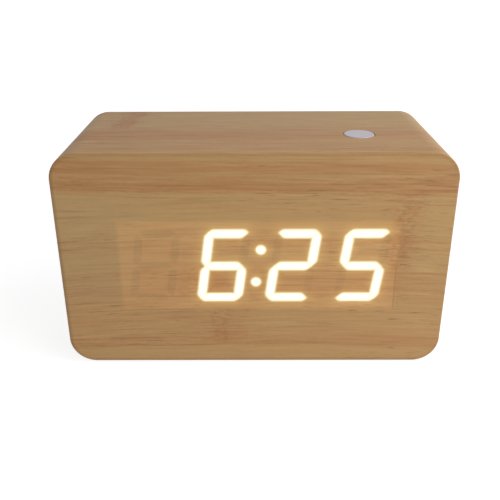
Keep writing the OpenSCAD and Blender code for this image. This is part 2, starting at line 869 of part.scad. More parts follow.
module cover_cuts() {
    block([bay_x0, bay_floor, bay_z0], [bay_x1, cover_out + over, bay_z1]);
    block([door_x0 - door_gap, recess_y, hinge_z],
        [door_x1 + door_gap, cover_out + over, door_top + door_gap]);
    block([door_x0 - door_gap, hinge_y - bead_d / 2 - door_gap, hinge_z - bead_d / 2 - door_gap],
        [door_x1 + door_gap, cover_out + over, hinge_z + bead_d / 2 + door_gap]);
    x_rod(door_x0 - hinge_pin_l - 2 * door_gap, door_x1 + hinge_pin_l + 2 * door_gap,
        hinge_pin_d + 2 * hinge_gap);
    block([latch_x0, latch_back, bay_z1 - over], [latch_x1, cover_out + over, latch_top + latch_room]);
    at_corners(0, mid_z, screw_x, screw_rise) {
        rod(0, 0, cover_in - over, cover_out, screw_d + 2 * pad_gap);
        rod(0, 0, cover_screw_seat, cover_out + over, screw_head_d + 2 * pad_gap);
    }
    for (k = [-1, 0, 1])
        rod(key_x, mid_z + k * key_pitch, cover_in - over, cover_out + over, key_d + 2 * key_gap);
    rod(buzzer_x, buzzer_z, cover_in - over, cover_out + over, vent_d);
    for (k = [0:vent_count - 1]) let (a = 360 * k / vent_count)
        rod(buzzer_x + vent_ring_r * cos(a), buzzer_z + vent_ring_r * sin(a),
            cover_in - over, cover_out + over, vent_d);
    at_usb(cover_in - over, cover_out + over) rounded(usb_w + 2 * usb_gap, usb_h + 2 * usb_gap, usb_gap);
    at_studs() rod(0, 0, key_board_back - over, key_board_front + key_screw_l + pilot_spare,
        key_screw_d + 2 * screw_gap);
    tab_slot(bay_x0, 1);
    tab_slot(bay_x1 - plate_t, -1);
}

// low ridges on the floor of the bay keep the cells apart
module bay_ridges() {
    for (s = [-1, 1]) translate([0, 0, mid_z + s * cell_pitch / 2])
        block([bay_x0 + ridge_inset, bay_floor - bay_wall / 2, -ridge_w / 2],
            [bay_x1 - ridge_inset, bay_floor + ridge_h, ridge_w / 2]);
}

module rear_cover() {
    color("darkslategray") {
        difference() {
            cover_solid();
            cover_cuts();
        }
        bay_ridges();
    }
}

module cover_screws() {
    color("silver") at_corners(0, mid_z, screw_x, screw_rise) translate([0, cover_screw_seat, 0])
        screw(screw_head_d, screw_head_h, screw_d, screw_l, 1);
}

// section of the latch tongue in Y and Z: in along the door, round a half turn and out to the thumb
module latch_section() {
    r = latch_bend + latch_t;
    translate([latch_y, latch_z]) square([latch_d + door_t / 2, latch_t]);
    translate([latch_y, latch_z + latch_t + 2 * latch_bend]) square([cover_out - latch_y, latch_t]);
    translate([latch_y, latch_z + r]) difference() {
        circle(r);
        circle(latch_bend);
        translate([0, -2 * r]) square(4 * r);
    }
}

module battery_door() {
    notch_w = latch_w + 2 * door_gap;
    color("darkslategray") {
        difference() {
            block([door_x0, door_in, hinge_z], [door_x1, cover_out, door_top]);
            block([bay_x - notch_w / 2, door_in - over, latch_z + latch_t],
                [bay_x + notch_w / 2, cover_out + over, door_top + over]);
        }
        x_rod(door_x0, door_x1, bead_d);
        x_rod(door_x0 - hinge_pin_l, door_x1 + hinge_pin_l, hinge_pin_d);
        translate([bay_x - latch_w / 2, 0, 0]) rotate([90, 0, 90])
            linear_extrude(latch_w) latch_section();
        for (k = [1:grip_count])
            translate([bay_x, cover_out, door_top - grip_inset - k * grip_pitch])
                block([-grip_w / 2, 0, 0], [grip_w / 2, grip_up, grip_h]);
    }
}

// a cell along X with its nub towards +X when way is 1
module cell(way) {
    tip = cell_l - cell_nub_l;
    color("seagreen") translate([way > 0 ? 0 : cell_l, 0, 0]) rotate([0, way * 90, 0])
        rotate_extrude() polygon([
            [0, 0], [cell_d / 2 - cell_edge, 0], [cell_d / 2, cell_edge], [cell_d / 2, tip - cell_edge],
            [cell_d / 2 - cell_edge, tip], [cell_nub_d / 2, tip], [cell_nub_d / 2, cell_l], [0, cell_l]
        ]);
}

// the nubs of the outer cells face left and that of the middle one right
function nub_way(k) = k == 0 ? 1 : -1;

module cells() {
    for (k = [-1, 0, 1])
        translate([bay_x0 + plate_t + (nub_way(k) > 0 ? spring_l : 0), cell_y, mid_z + k * cell_pitch])
            cell(nub_way(k));
}

// a contact plate that spans cells low to high at one end of the bay
module contact_plate(x, low, high) {
    block([x, bay_floor, mid_z + low * cell_pitch - plate_w / 2],
        [x + plate_t, bay_floor + plate_h, mid_z + high * cell_pitch + plate_w / 2]);
}

module contact_tab(x, k) {
    block([x, tab_tip, mid_z + k * cell_pitch - tab_w / 2],
        [x + plate_t, bay_floor, mid_z + k * cell_pitch + tab_w / 2]);
}

module contact_plates() {
    right = bay_x1 - plate_t;
    color("silver") {
        contact_plate(bay_x0, -1, 0);
        contact_plate(bay_x0, 1, 1);
        contact_tab(bay_x0, 1);
        contact_plate(right, 0, 1);
        contact_plate(right, -1, -1);
        contact_tab(right, -1);
    }
}

// a tapering spring along +Z from its plate: straight for one wire thickness at both ends
spring_steps = spring_turns * curl_rings;
function spring_point(k) = let (
    s = k / spring_steps,
    a = 360 * k / curl_rings,
    r = spring_base_r + (spring_tip_r - spring_base_r) * s
) [r * cos(a), r * sin(a), wire_d + (spring_l - 2 * wire_d) * s];
spring_path = concat(
    [[spring_base_r, 0, 0]],
    [for (k = [0:spring_steps]) spring_point(k)],
    [[spring_tip_r, 0, spring_l]]
);
function unit(v) = v / norm(v);
function spring_out(k) = let (a = 360 * min(max(k - 1, 0), spring_steps) / curl_rings)
    [cos(a), sin(a), 0];
function spring_way(k) = let (last = len(spring_path) - 1)
    k == 0 || k == last ? [0, 0, 1] :
    unit(unit(spring_path[k + 1] - spring_path[k]) + unit(spring_path[k] - spring_path[k - 1]));
function spring_ring(k) = let (
    out = spring_out(k),
    side = unit(cross(spring_way(k), out))
) [for (j = [0:wire_sides - 1]) let (a = 360 * j / wire_sides)
    spring_path[k] + wire_d / 2 * (out * cos(a) + side * sin(a))];
spring_rings = len(spring_path);
spring_vertices = [for (k = [0:spring_rings - 1]) each spring_ring(k)];
spring_faces = concat(
    [[for (j = [wire_sides - 1:-1:0]) j]],
    [for (k = [0:spring_rings - 2], j = [0:wire_sides - 1], half = [0, 1]) let (
        a = k * wire_sides + j,
        b = k * wire_sides + (j + 1) % wire_sides,
        c = a + wire_sides,
        d = b + wire_sides
    ) half == 0 ? [a, b, c] : [b, d, c]],
    [[for (j = [0:wire_sides - 1]) (spring_rings - 1) * wire_sides + j]]
);
// the spring's least gap to itself, between points of the wire that lie most of a turn apart
far = curl_rings * 3 / 4;
spring_gap = min([for (i = [0:spring_steps - far], j = [i + far:spring_steps])
    norm(spring_point(i) - spring_point(j))]) - wire_d;
echo(spring_gap = spring_gap);

module contact_spring(x, k, way) {
    translate([x, cell_y, mid_z + k * cell_pitch]) rotate([0, way * 90, 0])
        polyhedron(spring_vertices, [for (f = spring_faces) [for (j = [len(f) - 1:-1:0]) f[j]]]);
}

module contact_springs() {
    color("silver") {
        contact_spring(bay_x0 + plate_t, 0, 1);
        contact_spring(bay_x1 - plate_t, 1, -1);
        contact_spring(bay_x1 - plate_t, -1, -1);
    }
}

// a quarter turn of lead in X and Y about a centre, from a start angle
module lead_turn(x, y, start) {
    translate([x, y, 0]) rotate(start) rotate_extrude(angle = 90)
        translate([lead_bend, 0]) circle(d = lead_d);
}

// a lead from a contact tab to the board, stepping sideways once on the way
module lead(x, k) {
    step_y = (tab_tip + board_back) / 2;
    translate([x, 0, mid_z + k * cell_pitch]) {
        rod(0, 0, step_y + lead_bend, tab_tip, lead_d);
        lead_turn(lead_bend, step_y + lead_bend, 180);
        translate([lead_bend, step_y, 0]) rotate([0, 90, 0])
            cylinder(d = lead_d, h = lead_run - 2 * lead_bend);
        lead_turn(lead_run - lead_bend, step_y - lead_bend, 0);
        rod(lead_run, 0, board_back, step_y - lead_bend, lead_d);
    }
}

module positive_lead() {
    color("red") lead(bay_x0 + plate_t / 2, 1);
}

module negative_lead() {
    color("black") lead(bay_x1 - plate_t / 2, -1);
}

case_body();
side_film();
front_sheet();
foot_pads();
display_housing();
lit_bars();
unlit_bars();
led_chips();
display_board();
display_pins();
main_board();
board_screws();
clock_chip();
chip_legs();
crystal();
capacitor();
driver_transistors();
resistors();
top_switch();
top_plunger();
top_button();
rear_cover();
cover_screws();
key_board();
key_board_screws();
key_switches();
set_plunger();
up_plunger();
down_plunger();
set_key();
up_key();
down_key();
buzzer();
usb_socket();
usb_tongue();
key_cable();
battery_door();
cells();
contact_plates();
contact_springs();
positive_lead();
negative_lead();
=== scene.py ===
import math
from collections import namedtuple

import bpy
from mathutils import Matrix, Vector


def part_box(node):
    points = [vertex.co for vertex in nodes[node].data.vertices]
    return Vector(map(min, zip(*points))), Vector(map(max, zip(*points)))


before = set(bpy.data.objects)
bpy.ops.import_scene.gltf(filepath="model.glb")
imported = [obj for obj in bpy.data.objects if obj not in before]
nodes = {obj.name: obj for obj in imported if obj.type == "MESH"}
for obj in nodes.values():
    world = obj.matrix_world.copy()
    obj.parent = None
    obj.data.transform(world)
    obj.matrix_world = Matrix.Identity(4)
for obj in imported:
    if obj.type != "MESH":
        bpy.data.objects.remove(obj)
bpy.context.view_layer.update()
scene = bpy.context.scene

# The outline of the case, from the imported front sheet. The print and the light are laid out in millimetres.
MM = 1000
sheet_low, sheet_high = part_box("front_sheet")
HALF_W = (sheet_high.x - sheet_low.x) / 2 * MM
HALF_H = (sheet_high.z - sheet_low.z) / 2 * MM
MID_Z = (sheet_high.z + sheet_low.z) / 2 * MM
FRONT_Y = sheet_low.y * MM
CORNER_R = 7.0

BLACK = (0, 0, 0, 1)
WHITE = (1, 1, 1, 1)


def linear(r, g, b):
    """An sRGB colour in 0 to 255 as linear RGBA."""
    out = []
    for v in (r, g, b):
        v /= 255
        out.append(v / 12.92 if v <= 0.04045 else ((v + 0.055) / 1.055) ** 2.4)
    return (*out, 1.0)


class Net:
    """Short calls that add and link shader nodes in a material or a world."""

    def __init__(self, owner):
        owner.use_nodes = True
        self.owner = owner
        self.tree = owner.node_tree
        self.shader = self.tree.nodes.get("Principled BSDF")

    def put(self, socket, value):
        """Links an output to the socket, or sets a plain value on it."""
        if hasattr(value, "is_output"):
            self.tree.links.new(value, socket)
        else:
            socket.default_value = value

    def new(self, kind, **settings):
        node = self.tree.nodes.new(kind)
        for key, value in settings.items():
            setattr(node, key, value)
        return node

    def fill(self, node, *values):
        """Puts values on the node's first inputs and returns its first output."""
        for socket, value in zip(node.inputs, values):
            self.put(socket, value)
        return node.outputs[0]

    def math(self, operation, *values, clamp=False):
        return self.fill(self.new("ShaderNodeMath", operation=operation, use_clamp=clamp), *values)

    def add(self, a, b):
        return self.math("ADD", a, b)

    def sub(self, a, b):
        return self.math("SUBTRACT", a, b)

    def mul(self, a, b):
        return self.math("MULTIPLY", a, b)

    def low(self, a, b):
        return self.math("MINIMUM", a, b)

    def high(self, a, b):
        return self.math("MAXIMUM", a, b)

    def absolute(self, a):
        return self.math("ABSOLUTE", a)

    def rise(self, value, factor, base):
        """A straight line over the value."""
        return self.add(self.mul(value, factor), base)

    def swing(self, noise, factor):
        """A noise about its middle, times a factor."""
        return self.mul(self.sub(noise, 0.5), factor)

    def ease(self, value, start, end, to_low=0.0, to_high=1.0):
        """A smooth step from to_low at start to to_high at end."""
        if start > end:
            start, end, to_low, to_high = end, start, to_high, to_low
        node = self.new("ShaderNodeMapRange", interpolation_type="SMOOTHSTEP")
        return self.fill(node, value, start, end, to_low, to_high)

    def band(self, value, start, full, fade, end):
        """1 from full to fade, and 0 before start and after end."""
        return self.mul(self.ease(value, start, full), self.ease(value, end, fade))

    def fall(self, value, rate):
        """e to the power of the value times minus the rate."""
        return self.math("POWER", math.e, self.mul(value, -rate))

    def point(self, x, y, z=0.0):
        return self.fill(self.new("ShaderNodeCombineXYZ"), x, y, z)

    def stretched(self, place, factors):
        return self.point(*(self.mul(value, factor) for value, factor in zip(place, factors)))

    def measure(self, operation, vector, other=(0, 0, 0)):
        """A number from a vector and a constant one, such as their distance."""
        node = self.new("ShaderNodeVectorMath", operation=operation)
        self.put(node.inputs[0], vector)
        node.inputs[1].default_value = other
        return node.outputs["Value"]

    def place(self):
        """The row frame's x, y and z in millimetres."""
        coordinates = self.new("ShaderNodeTexCoord").outputs["Object"]
        scaled = self.new("ShaderNodeVectorMath", operation="SCALE")
        self.put(scaled.inputs[0], coordinates)
        scaled.inputs["Scale"].default_value = MM
        split = self.new("ShaderNodeSeparateXYZ")
        self.put(split.inputs[0], scaled.outputs[0])
        return split.outputs[0], split.outputs[1], split.outputs[2]

    def noise(self, vector, scale=1.0, detail=3.0, roughness=0.5):
        node = self.new("ShaderNodeTexNoise", noise_dimensions="3D")
        self.put(node.inputs["Vector"], vector)
        node.inputs["Scale"].default_value = scale
        node.inputs["Detail"].default_value = detail
        node.inputs["Roughness"].default_value = roughness
        return node.outputs["Fac"]

    def ramp(self, value, stops):
        """A colour, or a grey given as one number, for each place between 0 and 1."""
        node = self.new("ShaderNodeValToRGB")
        elements = node.color_ramp.elements
        while len(elements) < len(stops):
            elements.new(0.5)
        for element, (at, colour) in zip(elements, stops):
            element.position = at
            element.color = colour if hasattr(colour, "__len__") else (colour, colour, colour, 1)
        return self.fill(node, value)

    def mix(self, share, a, b, blend="MIX"):
        node = self.new("ShaderNodeMix", data_type="RGBA", blend_type=blend)
        self.put(node.inputs[0], share)
        self.put(node.inputs[6], a)
        self.put(node.inputs[7], b)
        return node.outputs[2]

    def bump(self, height, strength, distance):
        node = self.new("ShaderNodeBump")
        node.inputs["Strength"].default_value = strength
        node.inputs["Distance"].default_value = distance
        self.put(node.inputs["Height"], height)
        self.put(self.shader.inputs["Normal"], node.outputs[0])

    def set(self, **values):
        for key, value in values.items():
            self.put(self.shader.inputs[key.replace("_", " ")], value)

    def dress(self, *names):
        for name in names:
            data = nodes[name].data
            data.materials.clear()
            data.materials.append(self.owner)


def new_material(name):
    return Net(bpy.data.materials.new(name))


# Camera, fitted to the outline in the photograph: its angles in degrees, the focal length and the frame in
# pixels, and its place in metres from the middle of the sheet's lower front edge.
CAMERA_PITCH, CAMERA_YAW, CAMERA_ROLL = 24.46, 0.22, 0.21
FOCAL_PX, FRAME_PX = 667, 500
CAMERA_PLACE = Vector((-0.00048, -0.15759, 0.10571))
SENSOR_MM = 36
CLIP_START = 0.01


def add_camera():
    pitch, yaw, roll = (math.radians(a) for a in (CAMERA_PITCH, CAMERA_YAW, CAMERA_ROLL))
    turn = Matrix.Rotation(yaw, 3, "Z")
    forward = turn @ Vector((0, math.cos(pitch), -math.sin(pitch)))
    right = turn @ Vector((1, 0, 0))
    down = turn @ Vector((0, -math.sin(pitch), -math.cos(pitch)))
    right, down = (
        math.cos(roll) * right + math.sin(roll) * down,
        math.cos(roll) * down - math.sin(roll) * right,
    )
    camera = bpy.data.objects.new("camera", bpy.data.cameras.new("camera"))
    camera.data.sensor_width = SENSOR_MM
    camera.data.lens = SENSOR_MM * FOCAL_PX / FRAME_PX
    camera.data.clip_start = CLIP_START
    spot = Vector((0, sheet_low.y, sheet_low.z)) + CAMERA_PLACE
    camera.matrix_world = Matrix.Translation(spot) @ Matrix((right, -down, -forward)).transposed().to_4x4()
    scene.collection.objects.link(camera)
    scene.camera = camera


# Noises of the bamboo print: how fast each changes along and across the grain, per millimetre, a shift that
# tells it from the others, its detail and roughness, and the smooth step that it goes through, if any.
Grain = namedtuple("Grain", "along across shift detail rough step", defaults=(2, 0.5, None))
DRIFT = Grain(0.02, 0.06, 0)
CALM = Grain(0.012, 0.1, 29, 1, step=(0.42, 0.58, 0.6, 1.1))
BROAD = Grain(0.012, 0.4, 3)
STREAK = Grain(0.035, 1.1, 7, 3, 0.6)
FIBRE = Grain(0.08, 1.5, 11)
FLECK = Grain(0.7, 1.3, 19, 2, 0.6)
LINE = Grain(0.035, 1.7, 13, step=(0.57, 0.70))
TICK = Grain(0.17, 2.6, 17, 1, step=(0.60, 0.72))
PATCH = Grain(0.03, 0.12, 23, 1, step=(0.46, 0.60, 0.2, 1.0))
WANDER = Grain(1.0, 0.35, 31, 4, 0.65)
BLOT = Grain(0.45, 1.2, 37, 4, 0.7, step=(0.42, 0.60))
CREASE = Grain(0.8, 2.6, 43, step=(0.50, 0.66))

# How far the strips drift and the joints wander, in millimetres, and the rise of the grain along the film.
DRIFT_SIZE, WANDER_SIZE, GRAIN_RISE = 1.6, 5, 0.006
# Straight lines, as factor and base: how lively a strip is by its tone, and its streaks and its dark lines by
# how lively it is.
LIVELY, STREAK_TONE, LINE_SHARE = (1.35, 0.16), (0.7, 0.7), (0.7, 0.2)
# What the noises add to the tone, to the shade of the fibres and to the dark marks.
BROAD_TONE, BLOT_TONE = 0.9, 0.7
FIBRE_SHADE, FLECK_SHADE, BASE_SHADE = 1.3, 0.45, 0.25
LINE_DARK, CREASE_DARK, RING_DARK, TICK_DARK, DARK_SHARE = 0.42, 0.3, 0.12, 0.6, 0.8
# Bells about a joint, as millimetres along from its ring and sharpness.
RING_BELL, BLOT_BELL, CREASE_BELL, TICK_BELL = (0, 3), (1, 0.06), (2.5, 0.08), (2, 0.006)
# A joint fades out from this far inside its ends to that far outside them.
JOINT_IN, JOINT_OUT = 1.5, 1
# The warm zone begins and is full at these distances along from the ring, and fades about its far end.
WARM_START, WARM_FULL, WARM_FADE = -0.8, 0.6, 0.8
# The print's colours by tone, from pale olive to reddish, and those of its fibres and dark marks.
TONES = [
    (0.0, linear(181, 150, 102)),
    (0.35, linear(178, 144, 98)),
    (0.65, linear(174, 136, 92)),
    (1.0, linear(168, 124, 82)),
]
FIBRE_COLOUR, MARK_COLOUR = linear(144, 101, 64), linear(116, 80, 52)

# A joint of the culm: its place along, its lean, its ends across, the width and warmth of the zone beyond it,
# and the weight of its marks.
Joint = namedtuple("Joint", "along lean low high width warmth marks")


def bamboo(net, along, across, strips, joints, seed, contrast=1.0, tint=0.0, bow=0.0):
    """The colour and the height of a printed bamboo film.

    Along runs with the grain and across over it, both in millimetres. Strips are (across, tone), with
    tone 0 pale olive and 1 reddish. The seed picks the noises, contrast weighs the fibres, tint is added to
    the tone, and bow is how far the grain lies below its height at the crown of its arch."""

    def grain(kind, over, beside=along):
        spot = net.point(net.mul(beside, kind.along), net.mul(over, kind.across), seed + kind.shift)
        value = net.noise(spot, 1, kind.detail, kind.rough)
        return net.ease(value, *kind.step) if kind.step else value

    def bell(value, middle, sharp):
        off = net.sub(value, middle)
        return net.fall(net.mul(off, off), sharp)

    waved = net.add(across, net.swing(grain(DRIFT, across), DRIFT_SIZE))
    waved = net.add(net.add(waved, net.mul(along, GRAIN_RISE)), bow)
    low, high = strips[0][0], strips[-1][0]
    share = net.math("DIVIDE", net.sub(waved, low), high - low)
    tone = net.ramp(share, [((at - low) / (high - low), value) for at, value in strips])
    lively = net.mul(net.rise(tone, *LIVELY), grain(CALM, waved))
    streak = grain(STREAK, waved)
    fibre = grain(FIBRE, waved)
    patch = grain(PATCH, waved)
    tone = net.add(tone, net.swing(grain(BROAD, waved), BROAD_TONE))
    tone = net.add(net.add(tone, tint), net.swing(streak, net.rise(lively, *STREAK_TONE)))
    dark = net.mul(net.mul(grain(LINE, waved), net.rise(lively, *LINE_SHARE)), LINE_DARK)
    for joint in joints:
        from_middle = net.sub(across, (joint.low + joint.high) / 2)
        away = net.sub(net.sub(along, joint.along), net.mul(from_middle, joint.lean))
        # one line through the noise, so that a ring wanders only by its height
        away = net.add(away, net.swing(grain(WANDER, across, 0.5), WANDER_SIZE))
        inside = net.band(
            across, joint.low - JOINT_OUT, joint.low + JOINT_IN, joint.high - JOINT_IN, joint.high + JOINT_OUT
        )
        blot = net.mul(grain(BLOT, across), inside)
        crease = net.mul(grain(CREASE, across), net.mul(bell(away, *CREASE_BELL), inside))
        warm = net.band(away, WARM_START, WARM_FULL, joint.width - WARM_FADE, joint.width + WARM_FADE)
        tone = net.add(tone, net.mul(net.mul(bell(away, *BLOT_BELL), blot), BLOT_TONE * joint.marks))
        tone = net.add(tone, net.mul(net.mul(warm, inside), joint.warmth))
        ring = net.mul(net.mul(bell(away, *RING_BELL), blot), RING_DARK)
        dark = net.add(dark, net.add(net.mul(crease, CREASE_DARK * joint.marks), ring))
        patch = net.high(patch, net.mul(bell(away, *TICK_BELL), inside))
    dark = net.add(dark, net.mul(net.mul(grain(TICK, waved), patch), TICK_DARK))
    shade = net.add(net.swing(fibre, FIBRE_SHADE * contrast), net.swing(grain(FLECK, waved), FLECK_SHADE))
    colour = net.mix(net.add(net.mul(shade, lively), BASE_SHADE), net.ramp(tone, TONES), FIBRE_COLOUR)
    colour = net.mix(net.math("MULTIPLY", dark, DARK_SHARE, clamp=True), colour, MARK_COLOUR)
    height = net.add(net.mul(fibre, 0.5), net.mul(streak, 0.5))
    return colour, height


# The film's roughness from 0.44 where the print is low to 0.56 where it is high, and its bump.
FILM_ROUGHNESS = (0.3, 0.7, 0.44, 0.56)
FILM_BUMP, FILM_BUMP_DEPTH = 0.12, 0.00006
FRONT_SPECULAR, WRAP_SPECULAR = 0.12, 0.11


def finish_film(net, colour, height, specular):
    net.set(Base_Color=colour, Specular_IOR_Level=specular)
    net.set(Roughness=net.ease(height, *FILM_ROUGHNESS))
    net.bump(height, FILM_BUMP, FILM_BUMP_DEPTH)


# The display's bars as in its housing: half a bar's width, half the width and height of a digit between the
# middles of its bars, the cut at its outer corners and its lean.
BAR_T, BAR_A, BAR_B, BAR_CUT = 1.16, 4.83, 9.19, 0.85
LEAN = math.tan(math.radians(7.8))
DIGIT_PITCH, DOT_RISE, DOT_R = 18.1, 4.65, 1.24
# The lit bars of each digit by their usual letters: a blank place, then 6, 2 and 5.
LIT = ["", "acdefg", "abdeg", "acdfg"]
# Gaps between neighbouring bars, and how softly a bar's sides run into each other.
LIT_GAP, DARK_GAP, SOFT = 0.02, 0.4, 0.85
# Distances from a bar's edge where its light begins and where it is full, and the gain on that light.
BLUR, CORE_GAIN = (0.56, -0.69), 1.02
SLANT = math.sqrt(0.5)
FAR = 99.0


def bar_planes(letter, g):
    """The bar as (nx, nz, c): inside where nx*x + nz*z <= c for all of them; g is the gap between bars."""
    t, a, b, cut = BAR_T, BAR_A, BAR_B, BAR_CUT
    if letter in "ad":
        up = 1 if letter == "a" else -1
        planes = [(0, up, b + t), (0, -up, t - b)]
        for side in (-1, 1):
            planes.append((side * SLANT, -up * SLANT, (a - g - b) * SLANT))
            planes.append((side * SLANT, up * SLANT, (a + 2 * t - g - 2 * cut + b) * SLANT))
        return planes
    if letter == "g":
        ends = [(sx * SLANT, sz * SLANT, (a - g / 4) * SLANT) for sx in (-1, 1) for sz in (-1, 1)]
        return [(0, 1, t), (0, -1, t), *ends]
    side = 1 if letter in "bc" else -1
    up = 1 if letter in "bf" else -1
    slope = math.hypot(t - g, t)
    return [
        (side, 0, a + t),
        (-side, 0, t - a),
        (-side * SLANT, up * SLANT, (b - g - a) * SLANT),
        (side * SLANT, up * SLANT, (a + b + 2 * t - g - 2 * cut) * SLANT),
        (-side * SLANT, -up * SLANT, -(a + g) * SLANT),
        (side * (t - g) / slope, -up * t / slope, ((t - g) * a - t * g) / slope),
    ]


def bar_distance(net, local, letter, gap):
    shape = None
    for nx, nz, c in bar_planes(letter, gap):
        value = net.measure("DOT_PRODUCT", local, (nx, nz, -c))
        shape = value if shape is None else net.math("SMOOTH_MAX", shape, value, SOFT)
    return shape


def display(net, across, up):
    """The share of light from the lit bars and dots, and the distances to these and to the dark bars."""
    upright = net.sub(across, net.mul(up, LEAN))
    core, lit, unlit = 0.0, FAR, FAR
    for digit, letters in enumerate(LIT):
        local = net.point(net.sub(upright, (digit - 1.5) * DIGIT_PITCH), up, 1.0)
        for letter in "abcdefg":
            if letter in letters:
                shape = bar_distance(net, local, letter, LIT_GAP)
                core = net.add(core, net.ease(shape, *BLUR))
                lit = net.low(lit, shape)
            else:
                unlit = net.low(unlit, bar_distance(net, local, letter, DARK_GAP))
    for rise in (-DOT_RISE, DOT_RISE):
        shape = net.sub(net.measure("DISTANCE", net.point(across, up), (rise * LEAN, rise, 0)), DOT_R)
        core = net.add(core, net.ease(shape, *BLUR))
        lit = net.low(lit, shape)
    return net.low(net.mul(core, CORE_GAIN), 1.0), lit, unlit


def inset(net, x, z):
    """The distance inwards from the outline of the case."""
    over_x = net.sub(net.absolute(x), HALF_W - CORNER_R)
    over_z = net.sub(net.absolute(z), HALF_H - CORNER_R)
    bend_x, bend_z = net.high(over_x, 0.0), net.high(over_z, 0.0)
    reach = net.math("SQRT", net.add(net.mul(bend_x, bend_x), net.mul(bend_z, bend_z)))
    return net.sub(CORNER_R, net.add(reach, net.low(net.high(over_x, over_z), 0.0)))


# Strips and joints on the front, with x along and the height from the middle across.
FRONT_STRIPS = [
    (-30, 0.1), (-25.5, 0.1), (-24, 0.65), (-20, 0.36), (-15, 0.32), (-13, 0.25),
    (-8, 0.6), (-2, 0.55), (2, 0.25), (6, 0.55), (9, 0.3), (13, 0.2),
    (18.8, 0.2), (19.5, 0.8), (24, 0.7), (27.2, 0.75), (28, 0.3), (30, 0.3),
]
FRONT_JOINTS = [
    Joint(37.0, 0.13, -2, 20, 6, 0.15, 0.9),
    Joint(-11.2, 0.08, -24, -13, 9, 0.15, 0.6),
    Joint(-15.5, 0.0, -9, -1, 9, 0.28, 1.0),
]
FRONT_SEED = 4.0
# The grain arches about a crown at this x, by this share of the square of the distance. In the top band, it
# only drops by a share of the distance to the left.
CROWN_X, ARCH, DROP = 10, 0.00056, 0.016
TOP_BAND = (20, 9)
# The strips across the middle are more olive towards both ends.
MIDDLE = (-14, -8, 18, 19.5)
LEFT_END, RIGHT_END = (-20, -42), (36, 44)
LEFT_TINT, RIGHT_TINT, LEFT_COOLER = 0.3, 0.25, (0.965, 0.99, 1.05, 1)
# Painted light: the sheet grows a little paler towards the bottom, standing in for the light that the floor
# throws back onto the lower front.
BOUNCE_FROM, BOUNCE_TO, PAINTED_BOUNCE = 14, -28, (1.03, 1.015, 1.04, 1)

# Light that comes through the sheet: from the bars, as a halo that fades with the distance in millimetres,
# and as a faint leak over the display's face, which ends softly about the face's outline.
CORE_LIGHT = (0.75, 1.05, 0.9, 1)
HALO_LIGHT, HALO_RATE = (0.17, 0.115, 0.026, 1), 0.87
LEAK_LIGHT = (0.068, 0.027, 0.008, 1)
FACE_X_OUT, FACE_X_IN, FACE_Z_OUT, FACE_Z_IN = 0.7, 0.8, 0.6, 0.7
# The dark bars hold back a share of the leak, from and to these distances from their edges.
GHOST_EDGE, GHOST_SHARE = (0.25, -0.35), 0.62
# Painted shadow: the display's right edge shows through the sheet as a thin dark line, the shadow of the
# housing's edge, from the foot of the face to its middle.
RIM_INSET, RIM_EDGE, RIM_SHADOW_SHARE, RIM_SHADOW_COLOUR = 0.2, (0.35, 0.1), 0.35, linear(120, 92, 62)
RIM_FOOT_OUT, RIM_FOOT_IN, RIM_TOP_FADE, RIM_TOP_END = 0.3, 0.5, -0.5, 1.0
# Painted shade: a dark seam runs round the border, where the sheet meets the film, as the shade in the gap
# between them, stronger at the left, away from the light from the right.
SEAM_SHADE_COLOUR = linear(104, 76, 50)
SEAM_INNER, SEAM_OUTER = (1.2, 0.5), (0.1, 0.4, 0.35, 1.0)
SEAM_FAR, SEAM_NEAR = 1.5, 0.8
SEAM_SHADE_SHARE, SEAM_SHADE_LEFT, SEAM_SHADE_RIGHT = 0.2, 0.36, -0.2


